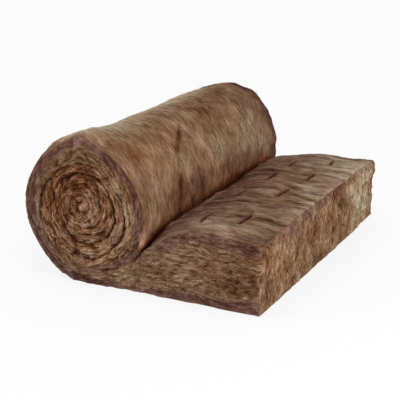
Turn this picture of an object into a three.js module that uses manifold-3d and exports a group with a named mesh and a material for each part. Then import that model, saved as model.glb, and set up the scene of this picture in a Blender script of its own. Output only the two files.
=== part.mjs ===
import * as THREE from "three";
import { mergeVertices } from "three/addons/utils/BufferGeometryUtils.js";
import Module from "manifold-3d";

// One length of mineral wool mat. One end is wound into a roll, and the other lies flat at its full loft.
// Lengths are in millimetres and angles in degrees. While it is modelled, the roll's middle is above x = 0,
// its axis is parallel to Y, the flat end runs out along +X, and the floor is z = 0.

// The mat
const MAT_WIDTH = 1200;
const MAT_LOFT = 252; // thickness of the flat end, where it is highest
const FREE_LENGTH = 683; // from the roll's middle to the free end
const EDGE_RADIUS = 14; // rounding of the cut edges
const CORNER_RADIUS = 22; // rounding of the free end's top edge
const DROOP = 14; // how far the top has fallen away at the free end

// The roll
const ROLL_WIDTH = 484;
const ROLL_HEIGHT = 516;
const SETTLING = 8; // how much the floor flattens the roll's underside
const NIP_ANGLE = 25; // where the flat end leaves the roll, below the level of its middle
const RISE_LENGTH = 235; // from the nip to where the mat has its full loft
const SHOULDER_RADIUS = 34; // rounding of the roll's rims at the shoulder
const SHOULDER_ANGLE = 118; // the direction in which the shoulder looks, up and away from the flat end
const SWELLING = 26; // how far the shoulder stands out near the front end
const SWELLING_PLACE = 110; // the middle of that swelling, from the front end
const SWELLING_REACH = 190;

// The turns, whose gap shows as a spiral groove in both ends
const TURN_THICKNESS = 45; // the compressed mat in the roll
const OUTER_TURN_EXTRA = 42; // the outermost turn is less compressed
const LOOSENING_ANGLE = 25; // how soon after the nip it is as thick as that
const CENTRE_RADIUS = 14; // where the gap ends
const GAP_WIDTH = 11;
const GAP_DEPTH = 34;

// The cut marks across the flat end
const MARK_LENGTH = 100;
const MARK_WIDTH = 7;
const MARK_DEPTH = 12;
const MARK_PITCH = 280; // from mark to mark in a row
const MARK_MARGIN = 75; // the least room between a row and the mat's sides
const ROW_SETBACK = 167; // from the free end to the first row
const ROW_PITCH = 146;
const ROW_CLEARANCE = 60; // the least room between a row and the nip
const ROW_SHIFTS = [60, 30]; // how far each row in turn is shifted towards the back end

// Facets
const ROLL_STEP = 7; // degrees
const ROUNDING_STEPS = 3;
const RISE_STEPS = 6;
const DROOP_STEPS = 4;
const MIDDLE_STATIONS = 7;
const GAP_STEP = 12; // degrees

const HALF_WIDTH = MAT_WIDTH / 2;
const HALF_ROLL = ROLL_WIDTH / 2;
const HALF_HEIGHT = (ROLL_HEIGHT + SETTLING) / 2;
const MIDDLE_HEIGHT = HALF_HEIGHT - SETTLING;
const MEAN_RADIUS = (HALF_ROLL + HALF_HEIGHT) / 2;

const radians = THREE.MathUtils.degToRad;

function onRoll(angle, share = 1) {
  return new THREE.Vector2(
    share * HALF_ROLL * Math.cos(radians(angle)),
    MIDDLE_HEIGHT + share * HALF_HEIGHT * Math.sin(radians(angle)),
  );
}

const NIP = onRoll(-NIP_ANGLE);

// The height of the flat end's top at x: it rises from the nip, and then falls away slowly.
function topHeight(x) {
  const risen = Math.min(1, (x - NIP.x) / RISE_LENGTH);
  const past = Math.max(0, x - NIP.x - RISE_LENGTH) / (FREE_LENGTH - NIP.x - RISE_LENGTH);
  return MAT_LOFT - (MAT_LOFT - NIP.y) * (1 - risen) ** 2 - DROOP * past ** 2;
}

// How far a direction on the roll looks the shoulder's way, from 0 to 1.
function shoulderShare(angle) {
  return Math.max(0, Math.cos(radians(angle - SHOULDER_ANGLE))) ** 2;
}

// The points from start to end, with steps spaces between them.
function spaced(start, end, steps) {
  return Array.from({ length: steps + 1 }, (_, i) => THREE.MathUtils.lerp(start, end, i / steps));
}

// The mat's outline in the XZ plane, as a list of { point, rim, lean }: rim is the rounding of the cut edge there,
// and lean is how much of the shoulder's swelling the point takes.
function outline() {
  const points = [];
  const add = (point, rim = EDGE_RADIUS, lean = 0) => points.push({ point, rim, lean });

  const floorAngle = 180 + THREE.MathUtils.radToDeg(Math.asin(MIDDLE_HEIGHT / HALF_HEIGHT));
  const rollSteps = Math.ceil((floorAngle + NIP_ANGLE) / ROLL_STEP);
  for (const angle of spaced(floorAngle, -NIP_ANGLE, rollSteps)) {
    const share = shoulderShare(angle);
    add(onRoll(angle), THREE.MathUtils.lerp(EDGE_RADIUS, SHOULDER_RADIUS, share), share);
  }

  const cornerX = FREE_LENGTH - CORNER_RADIUS;
  const levelX = Math.min(NIP.x + RISE_LENGTH, (NIP.x + cornerX) / 2);
  for (const x of spaced(NIP.x, levelX, RISE_STEPS).slice(1)) {
    add(new THREE.Vector2(x, topHeight(x)));
  }
  for (const x of spaced(levelX, cornerX, DROOP_STEPS).slice(1, -1)) {
    add(new THREE.Vector2(x, topHeight(x)));
  }

  const corners = [
    { radius: CORNER_RADIUS, z: topHeight(cornerX) - CORNER_RADIUS, from: 90, to: 0 },
    { radius: EDGE_RADIUS, z: EDGE_RADIUS, from: 0, to: -90 },
  ];
  for (const { radius, z, from, to } of corners) {
    for (const angle of spaced(from, to, ROUNDING_STEPS)) {
      const x = FREE_LENGTH - radius + radius * Math.cos(radians(angle));
      add(new THREE.Vector2(x, z + radius * Math.sin(radians(angle))));
    }
  }
  return points;
}

// The outline's outward direction at point i, halfway between those of its two sides.
function outward(points, i) {
  const before = points[(i + points.length - 1) % points.length].point;
  const here = points[i].point;
  const after = points[(i + 1) % points.length].point;
  const normal = (a, b) => new THREE.Vector2(a.y - b.y, b.x - a.x).normalize();
  return normal(before, here).add(normal(here, after)).normalize();
}

// The outline's points at one station, as 3-D points. turn runs from 0 on the end face to 90 where the rounding of
// the cut edge ends, and side is -1 at the front end, 1 at the back end. With middle given, they lie at that y.
function ring(points, side, turn, middle) {
  return points.map(({ point, rim, lean }, i) => {
    const y = middle ?? side * (HALF_WIDTH - rim * (1 - Math.cos(radians(turn))));
    const inset = middle === undefined ? rim * (1 - Math.sin(radians(turn))) : 0;
    const away = (y + HALF_WIDTH - SWELLING_PLACE) / SWELLING_REACH;
    const swelling = SWELLING * lean * Math.exp(-(away ** 2));
    const moved = outward(points, i).multiplyScalar(swelling - inset).add(point);
    return new THREE.Vector3(moved.x, y, moved.y);
  });
}

// A closed mesh through equal rings of points, with both ends capped by the given triangles of a ring.
function loft(rings, cap) {
  const size = rings[0].length;
  const indices = [];
  for (let r = 0; r + 1 < rings.length; r++) {
    for (let i = 0; i < size; i++) {
      const j = (i + 1) % size;
      const [a, b, c, d] = [r * size + i, r * size + j, (r + 1) * size + j, (r + 1) * size + i];
      indices.push(a, b, c, a, c, d);
    }
  }
  const last = (rings.length - 1) * size;
  for (const [a, b, c] of cap) {
    indices.push(a, b, c, last + a, last + c, last + b);
  }
  const geometry = new THREE.BufferGeometry().setFromPoints(rings.flat());
  geometry.setIndex(indices);
  return geometry;
}

function matGeometry() {
  const points = outline();
  const turns = spaced(0, 90, ROUNDING_STEPS);
  const reach = HALF_WIDTH - SHOULDER_RADIUS;
  const middles = spaced(-reach, reach, MIDDLE_STATIONS + 1).slice(1, -1);
  const rings = [
    ...turns.map((turn) => ring(points, -1, turn)),
    ...middles.map((y) => ring(points, 0, 90, y)),
    ...turns.reverse().map((turn) => ring(points, 1, turn)),
  ];
  const face = rings[0].map((p) => new THREE.Vector2(p.x, p.z));
  return loft(rings, THREE.ShapeUtils.triangulateShape(face, []));
}

// How far in the gap between the turns lies after it has gone round by travel degrees from the nip.
function gapInset(travel) {
  const loosened = 1 - Math.exp(-travel / LOOSENING_ANGLE);
  return OUTER_TURN_EXTRA * loosened + (TURN_THICKNESS * travel) / 360;
}

// The gap's middle line in the XZ plane, from just outside the nip to the roll's middle.
function gapLine() {
  const line = [];
  for (let travel = 0; gapInset(travel) < MEAN_RADIUS - CENTRE_RADIUS; travel += GAP_STEP) {
    line.push(onRoll(-NIP_ANGLE - travel, 1 - gapInset(travel) / MEAN_RADIUS));
  }
  const mouth = line[0].clone().sub(line[1]).setLength(EDGE_RADIUS + GAP_WIDTH).add(line[0]);
  return [mouth, ...line];
}

// The solid that cuts the gap into one end: a V whose open side stands proud of the end face.
function gapCutter(side) {
  const line = gapLine();
  const rings = line.map((point, i) => {
    const along = line[Math.min(i + 1, line.length - 1)].clone().sub(line[Math.max(i - 1, 0)]);
    const across = new THREE.Vector2(-along.y, along.x).setLength(GAP_WIDTH);
    const proud = side * (HALF_WIDTH + GAP_DEPTH);
    const deep = side * (HALF_WIDTH - GAP_DEPTH);
    const corners = [
      new THREE.Vector3(point.x + across.x, proud, point.y + across.y),
      new THREE.Vector3(point.x - across.x, proud, point.y - across.y),
      new THREE.Vector3(point.x, deep, point.y),
    ];
    return side < 0 ? corners : corners.reverse();
  });
  return loft(rings, [[0, 2, 1]]);
}

// One cut mark: a slit with pointed ends, cut into the top at x.
function markCutter(x, y) {
  const slit = new THREE.Shape([
    new THREE.Vector2(-MARK_WIDTH / 2, -MARK_LENGTH / 4),
    new THREE.Vector2(0, -MARK_LENGTH / 2),
    new THREE.Vector2(MARK_WIDTH / 2, -MARK_LENGTH / 4),
    new THREE.Vector2(MARK_WIDTH / 2, MARK_LENGTH / 4),
    new THREE.Vector2(0, MARK_LENGTH / 2),
    new THREE.Vector2(-MARK_WIDTH / 2, MARK_LENGTH / 4),
  ]);
  const geometry = new THREE.ExtrudeGeometry(slit, { depth: 2 * MARK_DEPTH, bevelEnabled: false });
  return geometry.translate(x, y, topHeight(x) - MARK_DEPTH);
}

function markCutters() {
  const cutters = [];
  const room = MAT_WIDTH - MARK_LENGTH - 2 * MARK_MARGIN;
  const last = Math.floor(room / MARK_PITCH);
  ROW_SHIFTS.forEach((shift, row) => {
    const x = FREE_LENGTH - ROW_SETBACK - row * ROW_PITCH;
    for (let i = 0; i <= last && x > NIP.x + ROW_CLEARANCE; i++) {
      cutters.push(markCutter(x, (i - last / 2) * MARK_PITCH + shift));
    }
  });
  return cutters;
}

const wasm = await Module();
wasm.setup();

function toManifold(geometry) {
  const bare = geometry.clone();
  bare.deleteAttribute("normal");
  bare.deleteAttribute("uv");
  const merged = mergeVertices(bare);
  const vertProperties = Float32Array.from(merged.attributes.position.array);
  const triVerts = Uint32Array.from(merged.index.array);
  return new wasm.Manifold(new wasm.Mesh({ numProp: 3, vertProperties, triVerts }));
}

function toGeometry(solid) {
  const { vertProperties, triVerts } = solid.getMesh();
  const geometry = new THREE.BufferGeometry();
  geometry.setAttribute("position", new THREE.BufferAttribute(vertProperties, 3));
  geometry.setIndex(new THREE.BufferAttribute(triVerts, 1));
  geometry.computeVertexNormals();
  return geometry;
}

const cutters = [gapCutter(-1), gapCutter(1), ...markCutters()];
const solid = cutters.reduce((body, cutter) => body.subtract(toManifold(cutter)), toManifold(matGeometry()));
const geometry = toGeometry(solid);
geometry.computeBoundingBox();
geometry.translate(-(geometry.boundingBox.min.x + geometry.boundingBox.max.x) / 2, 0, 0);

const wool = new THREE.MeshStandardMaterial({ color: 0x8a6a4c, roughness: 1, metalness: 0 });
const mat = new THREE.Mesh(geometry, wool);
mat.name = "wool_mat";

const insulationRoll = new THREE.Group();
insulationRoll.add(mat);

export default insulationRoll;
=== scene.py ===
import math

import bpy
import numpy as np
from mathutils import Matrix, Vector


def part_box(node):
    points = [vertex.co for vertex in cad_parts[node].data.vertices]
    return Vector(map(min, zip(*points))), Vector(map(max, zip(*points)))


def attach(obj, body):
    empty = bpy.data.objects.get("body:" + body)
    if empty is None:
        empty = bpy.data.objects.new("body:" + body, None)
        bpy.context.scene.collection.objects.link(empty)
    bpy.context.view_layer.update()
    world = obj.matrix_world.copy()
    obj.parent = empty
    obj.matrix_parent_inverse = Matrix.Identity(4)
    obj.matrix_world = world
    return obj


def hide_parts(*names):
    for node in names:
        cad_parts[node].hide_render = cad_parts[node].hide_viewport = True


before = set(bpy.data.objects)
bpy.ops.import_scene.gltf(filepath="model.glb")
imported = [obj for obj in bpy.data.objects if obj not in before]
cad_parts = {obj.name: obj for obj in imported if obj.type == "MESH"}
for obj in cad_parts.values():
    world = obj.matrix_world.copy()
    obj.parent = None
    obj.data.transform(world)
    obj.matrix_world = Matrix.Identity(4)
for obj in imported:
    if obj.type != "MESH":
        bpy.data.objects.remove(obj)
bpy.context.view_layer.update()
low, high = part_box("wool_mat")

# One length of mineral wool mat, in two pieces that meet under the roll's right side: the wound end and the
# flat end. Loose fibres lie on both. Lengths are in metres and angles in degrees.

# ---- the mat's sizes, as in the CAD
HALF_WIDTH = (high[1] - low[1]) / 2
FREE_X = high[0]
FREE_LENGTH = 0.683
ROLL_X = FREE_X - FREE_LENGTH
HALF_ROLL = 0.242
HALF_HEIGHT = 0.262
MIDDLE_HEIGHT = 0.254
MEAN_RADIUS = (HALF_ROLL + HALF_HEIGHT) / 2
NIP_ANGLE = 25
MAT_LOFT = 0.252
RISE_LENGTH = 0.235
DROOP = 0.014
TURN_THICKNESS = 0.045
OUTER_TURN_EXTRA = 0.042
LOOSENING_ANGLE = 25
EDGE_RADIUS = 0.014
FLOOR_EDGE_RADIUS = 0.007
CENTRE_RADIUS = 0.012
MARK_DEPTH = 0.016
FRONT, BACK = -1, 1  # the two ends' directions along Y

# The knife's marks, each a little off the CAD's regular place: distance from the free end, Y, length, slope.
MARKS = (
    (0.288, -0.435, 0.122, -0.14),
    (0.306, -0.085, 0.125, 0.1),
    (0.283, 0.16, 0.1, 0.05),
    (0.288, 0.41, 0.105, -0.07),
    (0.15, -0.398, 0.135, -0.02),
    (0.153, -0.036, 0.128, 0.08),
    (0.142, 0.227, 0.12, -0.05),
    (0.139, 0.455, 0.095, -0.12),
)

# ---- how fine the meshes are
ROLL_STEPS = 288  # round one turn
ROLL_STATIONS = 156  # along the roll, between its rims
RIM_STEPS = 7
MOST_TURNS = 8
TURN_ROWS = 14  # across one turn's cut edge
ACROSS_TURN = np.arange(1, TURN_ROWS) / TURN_ROWS
CORE_STEPS = 420  # of the innermost turns, where the fibres lie in all directions
FLAT_STEPS = 111  # along X
FLAT_STATIONS = 236  # along Y
FLAT_ROWS = 52  # along Z


# ---- noise and blending
def mix(a, b, share):
    return a + (b - a) * share


def smooth(x, start, end):
    t = np.clip((x - start) / (end - start), 0, 1)
    return t * t * (3 - 2 * t)


def bell(x, middle, reach):
    return np.exp(-(((x - middle) / reach) ** 2))


def noise(u, v, w, seed):
    """Smooth gradient noise from about -1 to 1, at points in units of its pattern's size."""
    place = np.stack(np.broadcast_arrays(u, v, w), -1).astype(float)
    cell = np.floor(place).astype(np.int64)
    part = place - cell
    fade = part**3 * (part * (part * 6 - 15) + 10)
    total = np.zeros(place.shape[:-1])
    for corner in np.ndindex(2, 2, 2):
        x, y, z = np.moveaxis(cell + corner, -1, 0)
        code = (x * 73856093) ^ (y * 19349663) ^ (z * 83492791) ^ (seed * 26544357)
        code = ((code & 0xFFFFFFFF) * 1274126177) & 0xFFFFFFFF
        code = ((code ^ (code >> 15)) * 2246822519) & 0xFFFFFFFF
        code ^= code >> 13
        slope = np.stack([(code >> shift & 255) / 127.5 - 1 for shift in (0, 8, 16)], -1)
        total += np.prod(np.where(corner, fade, 1 - fade), -1) * ((part - corner) * slope).sum(-1)
    return total * 1.6


def streaks(mat, length, width, seed, octaves=2):
    """Noise in streaks along the fibres, which run round the roll and along X."""
    total = 0
    rise = mat.z / length
    along, aside, down = mat.x / length, mat.aside / width - rise, mat.depth / width + rise
    for octave in range(octaves):
        scale = 2**octave
        total += noise(along * scale, aside * scale, down * scale, seed + octave) / scale
    return total


def patches(mat, size, seed):
    """Noise with patches of one size in all directions."""
    return noise(mat.x / size, mat.y / size, mat.z / size, seed)


# ---- the mat's lines
def on_roll(angle, share=1):
    """The X and Z of a point on the roll's round, or inside it at a share of its radius."""
    turned = np.radians(angle)
    return ROLL_X + share * HALF_ROLL * np.cos(turned), MIDDLE_HEIGHT + share * HALF_HEIGHT * np.sin(turned)


NIP_X, NIP_Z = on_roll(-NIP_ANGLE)
FLOOR_TRAVEL = 180 - NIP_ANGLE - math.degrees(math.asin(MIDDLE_HEIGHT / HALF_HEIGHT))
FLOOR_END_X, _ = on_roll(-NIP_ANGLE - FLOOR_TRAVEL)


def roll_share(angle, y):
    """How far out the roll's surface lies, as a share of its plain radius."""
    a = np.mod(angle, 360)
    front = smooth(-y, 0.3, HALF_WIDTH)
    back = smooth(y, 0.05, HALF_WIDTH)
    shoulder = 0.105 * bell(a, 122, 42) * bell(y, -0.5, 0.19)
    front_shape = 0.055 * bell(a, 168, 30) + 0.085 * bell(a, 93, 10) - 0.03 * bell(a, 45, 26) - 0.012
    back_shape = 0.05 * bell(a, 54, 25) - 0.03 * bell(a, 112, 30) + 0.01 * bell(a, 10, 30)
    waist = -0.02 * bell(a, 112, 40) * bell(y, -0.24, 0.1) - 0.022 * bell(a, 105, 32) * bell(y, 0.13, 0.13)
    from_nip = np.minimum(np.mod(-NIP_ANGLE - angle, 360), np.mod(angle + NIP_ANGLE, 360))
    return 1 + (shoulder + front * front_shape + back * back_shape + waist) * smooth(from_nip, 0, 30)


def roll_surface(travel, y):
    """The mat's outer side, by the degrees it has gone round from the nip, first along the floor."""
    angle = -NIP_ANGLE - travel
    x, z = on_roll(angle, roll_share(angle, y))
    on_floor = travel < FLOOR_TRAVEL
    x = np.where(on_floor, mix(NIP_X, FLOOR_END_X, travel / FLOOR_TRAVEL), x)
    z = np.where(on_floor, 0, np.maximum(z, 0))
    return x, z


def rim_radius(travel, side):
    """The rounding at the roll's ends: wide at the front end's shoulder."""
    angle = np.mod(-NIP_ANGLE - travel, 360)
    wide = 0.036 * bell(angle, 126, 34) if side == FRONT else 0.01 * bell(angle, 100, 60)
    return mix(FLOOR_EDGE_RADIUS, EDGE_RADIUS, smooth(travel, 50, 120)) + wide


def gap_inset(turns):
    """How deep under the roll's surface the gap between the turns lies, so many turns from the nip."""
    travel = 360 * turns
    loosened = 1 - np.exp(-travel / LOOSENING_ANGLE)
    wobble = 0.005 * noise(travel / 47, 0.5, 0.5, 5) + 0.0026 * noise(travel / 17, 3.5, 0.5, 6)
    return OUTER_TURN_EXTRA * loosened + TURN_THICKNESS * turns + wobble * smooth(travel, 10, 50)


def gap_line(turns):
    """The gap's X and Z in the roll's ends. The inner turns have moved up and away from the flat end."""
    share = 1 - gap_inset(turns) / MEAN_RADIUS
    angle = -NIP_ANGLE - 360 * turns
    x, z = on_roll(angle, share * mix(1, roll_share(angle, -HALF_WIDTH), 0.7 * share**2))
    shift = smooth(turns, 0.15, 3.5) * (1 - share)
    return x - 0.014 * shift, z + 0.034 * shift


def contact_line(y):
    """Where the flat end's top touches the roll: at the nip, and higher up between the ends."""
    lifted = 12.3 * smooth(y, -HALF_WIDTH, -0.45) + 4 * np.maximum(y + 0.45, 0)
    return on_roll(lifted * smooth(y, HALF_WIDTH, 0.52) - NIP_ANGLE)


def top_height(x, y):
    """The flat end's top: it rises from the roll, then droops, more at the free end's corners."""
    rise_length = RISE_LENGTH - 0.03 * smooth(y, 0.15, HALF_WIDTH)
    contact_x, contact_z = contact_line(y)
    start = MAT_LOFT - (MAT_LOFT - contact_z) / (1 - (contact_x - NIP_X) / rise_length) ** 2
    risen = np.clip((x - NIP_X) / rise_length, 0, 1)
    past = np.clip((x - NIP_X - RISE_LENGTH) / (FREE_X - NIP_X - RISE_LENGTH), 0, 1)
    height = MAT_LOFT - (MAT_LOFT - start) * (1 - risen) ** 2 - DROOP * past**2
    tilt = -0.009 * (y / HALF_WIDTH) * bell(x, FREE_X - 0.2, 0.16)
    tilt -= 0.009 * smooth(y, 0.25, HALF_WIDTH) * bell(x, NIP_X + 0.15, 0.08)
    crown = 0.012 * (1 - (y / HALF_WIDTH) ** 4) * past**2
    return height + tilt + crown + (0.007 * smooth(y, 0.2, HALF_WIDTH) - 0.003) * past**2


# ---- surfaces made of grids of points
FAR = 1  # stands for a distance that doesn't matter
VALUES = ("tone", "hue", "plum", "torn", "deep", "fibre")  # what the material reads from each point


class Surface:
    """A closed surface in the making: its faces, and each point's place (x, y, z), depth in the fibres'
    pattern, turns from the nip, and distances from the mat's outer face (below), its inner face (above) and
    the gap between the turns (gap)."""

    def __init__(self, is_roll):
        self.is_roll = is_roll
        self.count = 0
        self.blocks, self.skin, self.wall = [], [], []

    def add(self, **values):
        """Adds a block of points, and returns their numbers."""
        arrays = np.broadcast_arrays(*values.values())
        self.blocks.append(dict(zip(values, (array.ravel().astype(float) for array in arrays))))
        numbers = self.count + np.arange(arrays[0].size).reshape(arrays[0].shape)
        self.count += numbers.size
        return numbers

    def get(self, name):
        return np.concatenate([block[name] for block in self.blocks])

    def cover(self, grid, flip=False, wall=False):
        """Quads between the rows and columns of a grid of point numbers."""
        a, b, c, d = grid[:-1, :-1], grid[:-1, 1:], grid[1:, 1:], grid[1:, :-1]
        quads = np.stack([a, d, c, b] if flip else [a, b, c, d], -1).reshape(-1, 4)
        (self.wall if wall else self.skin).append(quads)

    def close(self):
        """Makes one array of each value, and works out the points' normals."""
        for name in self.blocks[0]:
            setattr(self, name, self.get(name))
        self.points = np.stack([self.x, self.y, self.z], -1)
        self.skin = np.concatenate(self.skin)
        self.wall = np.concatenate(self.wall)
        self.normals = point_normals(self.points, self.skin)
        return self


def unit(vectors):
    return vectors / np.maximum(np.linalg.norm(vectors, axis=-1, keepdims=True), 1e-12)


def point_normals(points, quads):
    across = np.cross(points[quads[:, 2]] - points[quads[:, 0]], points[quads[:, 3]] - points[quads[:, 1]])
    total = np.zeros_like(points)
    for corner in range(4):
        np.add.at(total, quads[:, corner], across)
    return unit(total)


def add_object(name, data):
    thing = bpy.data.objects.new(name, data)
    bpy.context.scene.collection.objects.link(thing)
    return thing


def add_mesh(name, points, skin, wall=(), attributes=None):
    """An object from quads. A quad that names a point twice becomes a triangle, or nothing."""
    faces = np.concatenate([skin, wall]) if len(wall) else skin
    keep = faces != np.roll(faces, -1, axis=1)
    sizes = keep.sum(1)
    shown = np.arange(len(faces)) < len(skin)
    good = sizes > 2
    loops = faces[good][keep[good]]
    starts = np.concatenate([[0], np.cumsum(sizes[good])[:-1]])
    mesh = bpy.data.meshes.new(name)
    mesh.vertices.add(len(points))
    mesh.vertices.foreach_set("co", points.astype(np.float32).ravel())
    mesh.loops.add(len(loops))
    mesh.loops.foreach_set("vertex_index", loops.astype(np.int32))
    mesh.polygons.add(len(starts))
    mesh.polygons.foreach_set("loop_start", starts.astype(np.int32))
    mesh.polygons.foreach_set("use_smooth", shown[good])
    mesh.update(calc_edges=True)
    for key, values in (attributes or {}).items():
        kind, field = ("FLOAT", "value") if values.ndim == 1 else ("FLOAT_VECTOR", "vector")
        layer = mesh.attributes.new(key, kind, "POINT")
        layer.data.foreach_set(field, values.astype(np.float32).ravel())
    return add_object(name, mesh)


# ---- the wound end's shape
def wound_end():
    """The roll, and the stretch of mat that it stands on, as a closed surface."""
    mat = Surface(is_roll=True)
    travel = 360 * np.arange(ROLL_STEPS + 1) / ROLL_STEPS
    turned = np.radians(np.linspace(90, 0, RIM_STEPS))[:, None]
    to_end, inward = 1 - np.sin(turned), 1 - np.cos(turned)
    front_rim, back_rim = rim_radius(travel, FRONT), rim_radius(travel, BACK)
    front_y = -HALF_WIDTH + front_rim * to_end
    back_y = HALF_WIDTH - back_rim * to_end[::-1]
    along = np.linspace(0, 1, ROLL_STATIONS)[1:-1, None]
    side_y = mix(front_y[-1], back_y[0], along)
    y = np.vstack([front_y, side_y, back_y])
    inset = np.vstack([front_rim * inward, np.zeros_like(side_y), back_rim * inward[::-1]])
    x, z = roll_surface(travel, y)
    run_x, run_z = np.gradient(x, axis=1), np.gradient(z, axis=1)
    run = np.hypot(run_x, run_z)
    x += run_z / run * inset
    z -= run_x / run * inset
    x[:, 0] = x[:, -1] = NIP_X
    z[:, -1] = NIP_Z
    near_nip = np.hypot(x - NIP_X, z - NIP_Z)
    wrap = mat.add(x=x, y=y, z=z, depth=inset, turns=travel / 360, below=inset, above=FAR, gap=near_nip)
    mat.cover(wrap)
    mat.wrap = wrap
    mat.front = spiral_end(mat, wrap[0], FRONT)
    mat.back = spiral_end(mat, wrap[-1], BACK)

    x, y, z = (mix(v[1:-1, :1], v[1:-1, -1:], ACROSS_TURN) for v in (x, y, z))
    wall = np.zeros((len(wrap), TURN_ROWS + 1), int)
    wall[1:-1, 1:-1] = mat.add(x=x, y=y, z=z, depth=0, turns=0, below=FAR, above=FAR, gap=FAR)
    wall[:, 0], wall[:, -1] = wrap[:, 0], wrap[:, -1]
    wall[0], wall[-1] = mat.front[0], mat.back[0]
    mat.cover(wall, flip=True, wall=True)
    return mat.close()


def spiral_end(mat, rim, side):
    """One cut end of the roll, as a grid: a row runs across the turn, and a column runs along it."""
    turns = np.arange(1, MOST_TURNS * ROLL_STEPS) / ROLL_STEPS
    turns = turns[gap_inset(turns) < MEAN_RADIUS - CENTRE_RADIUS]
    x, z = gap_line(turns)
    y = side * HALF_WIDTH
    line = mat.add(x=x, y=y, z=z, depth=gap_inset(turns), turns=turns, below=FAR, above=0, gap=0)
    middle_x, middle_z = x[-ROLL_STEPS:].mean(), z[-ROLL_STEPS:].mean()
    centre = mat.add(
        x=middle_x, y=y, z=middle_z, depth=MEAN_RADIUS, turns=turns[-1], below=0.02, above=0.02, gap=FAR
    )
    inner = np.concatenate([rim[-1:], line, np.full(ROLL_STEPS, centre)])
    outer = np.concatenate([rim, line])
    known = np.stack([mat.get(name) for name in ("x", "z", "depth")])
    start, end = known[:, outer[:-1, None]], known[:, inner[:-1, None]]
    step = np.arange(len(inner) - 1)[:, None]
    outermost = step <= ROLL_STEPS
    thickness = np.hypot(*(end - start)[:2])
    end[2] = np.where(outermost, start[2] + thickness, end[2])
    x, z, depth = mix(start, end, ACROSS_TURN)
    below = ACROSS_TURN * thickness + np.where(outermost, start[2], 0)
    above = (1 - ACROSS_TURN) * thickness
    gap = np.minimum(np.where(outermost, FAR, below), np.where(inner[:-1, None] == centre, FAR, above))
    rows = mat.add(x=x, y=y, z=z, depth=depth, turns=step / ROLL_STEPS, below=below, above=above, gap=gap)
    rows = np.vstack([rows, np.full(TURN_ROWS - 1, centre)])  # the last row is a single edge
    grid = np.column_stack([outer, rows, inner])
    mat.cover(grid, flip=side == BACK)
    return grid


# ---- the flat end's shape
def flat_columns():
    """The X of the flat end's points, which are closer together at the knife's marks."""
    x = np.linspace(NIP_X, FREE_X, 2000)
    crowding = 1 + 2.2 * bell(x, FREE_X - 0.292, 0.018) + 2.2 * bell(x, FREE_X - 0.147, 0.012)
    travel = np.cumsum(crowding) - crowding[0]
    return np.interp(np.linspace(0, travel[-1], FLAT_STEPS + 1), travel, x)


def flat_end():
    """The flat end, from the nip to the free end: a box with rounded edges, save at the roll."""
    counts = (FLAT_STEPS, FLAT_STATIONS, FLAT_ROWS)
    steps = np.stack(np.meshgrid(*(np.arange(n + 1) for n in counts), indexing="ij"), -1)
    on_skin = np.any((steps == 0) | (steps == counts), -1)
    _, share_y, share_z = (steps[on_skin] / counts).T
    x = flat_columns()[steps[on_skin][:, 0]]
    y = mix(-HALF_WIDTH, HALF_WIDTH, share_y)
    top = top_height(x, y)
    z = top * share_z
    upper = smooth(share_z, 0.15, 0.7)
    corner = smooth(x, FREE_X - 0.09, FREE_X) * smooth(-y, HALF_WIDTH - 0.09, HALF_WIDTH)
    edge = EDGE_RADIUS + 0.01 * corner + 0.004 * noise(x / 0.08, y / 0.09, z / 0.08, 9)
    radius = mix(FLOOR_EDGE_RADIUS, edge * smooth(x - NIP_X, 0, 0.04), upper)
    core_y = np.clip(y, radius - HALF_WIDTH, HALF_WIDTH - radius)
    core = np.stack([np.minimum(x, FREE_X - radius), core_y, np.clip(z, radius, top - radius)])
    out = [x, y, z] - core
    pull = radius / np.maximum(np.linalg.norm(out, axis=0), 1e-9)
    x, y, z = core + out * np.minimum(pull, 1)

    mat = Surface(is_roll=False)
    gap = np.hypot(x - NIP_X, z - NIP_Z)
    above = np.maximum(top - z, 0)
    lattice = np.full(on_skin.shape, -1)
    lattice[on_skin] = mat.add(x=x, y=y, z=z, depth=z, turns=0, below=z, above=above, gap=gap)
    mat.top, mat.front, mat.back, mat.free = lattice[:, :, -1], lattice[:, 0], lattice[:, -1], lattice[-1]
    mat.cover(lattice[:, :, 0])
    mat.cover(mat.back)
    for grid in (mat.top, mat.front, mat.free):
        mat.cover(grid, flip=True)
    mat.cover(lattice[0], wall=True)
    return mat.close()


# ---- relief, point by point
# Where the gap is pressed in more (or less, below 0): turns from the nip, reach and how much.
GAP_PLACES = (
    (0, 0.03, 0.8),
    (0.45, 0.06, 0.6),
    (1.68, 0.1, 0.8),
    (1.92, 0.06, 0.9),
    (2.2, 0.12, 0.9),
    (0.7, 0.12, -0.8),
    (0.12, 0.06, -0.5),
    (0.94, 0.06, -0.9),
)


def gap_depth(mat):
    """How far the gap between the turns is pressed in. It opens and closes along its way."""
    turns = mat.turns
    opened = smooth(noise(turns * 9.1, mat.y * 2, 0.5, 31), -0.1, 0.5)
    for place, reach, more in GAP_PLACES:
        opened += more * bell(turns, place, reach)
    wide = bell(turns, 0, 0.03) + 0.6 * bell(turns, 0.45, 0.06) + bell(turns, 1.9, 0.3)
    ragged = 0.0045 * patches(mat, 0.022, 32) + 0.0025 * patches(mat, 0.011, 39)
    return np.clip(opened, 0, 1.1) * bell(np.maximum(mat.gap + ragged, 0), 0, 0.0042 + 0.0035 * wide)


def in_core(mat):
    """The middle of the roll's ends, where the mat is crumpled and shows no layers, from 0 to 1."""
    return smooth(mat.depth, 0.16, 0.2) * (mat.turns > 1)


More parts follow.
